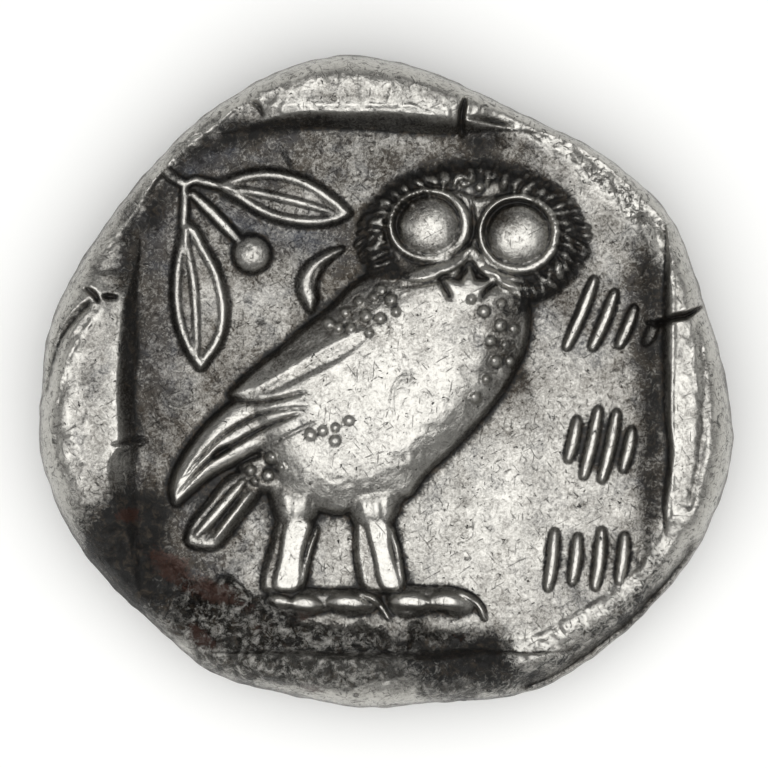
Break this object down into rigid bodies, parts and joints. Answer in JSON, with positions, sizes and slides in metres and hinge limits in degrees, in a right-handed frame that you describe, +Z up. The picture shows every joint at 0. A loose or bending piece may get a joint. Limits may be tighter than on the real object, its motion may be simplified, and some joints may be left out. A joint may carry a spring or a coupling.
{
  "type": "silver tetradrachm coin",
  "caption": "Thick struck silver coin with an irregular round edge, an owl in a sunk square above and a worn helmeted head below.",
  "frame": {"origin": "on the resting plane, under the middle of the coin's outline", "axes": "+Z up through the coin's thickness, +Y to the top of the owl side, +X to its right"},
  "size_m": [0.025, 0.0236, 0.0059],
  "materials": {
    "silver": "worn toned silver with dark deposits in the recesses"
  },
  "bodies": {
    "root": {"coin": "silver"}
  },
  "joints": []
}
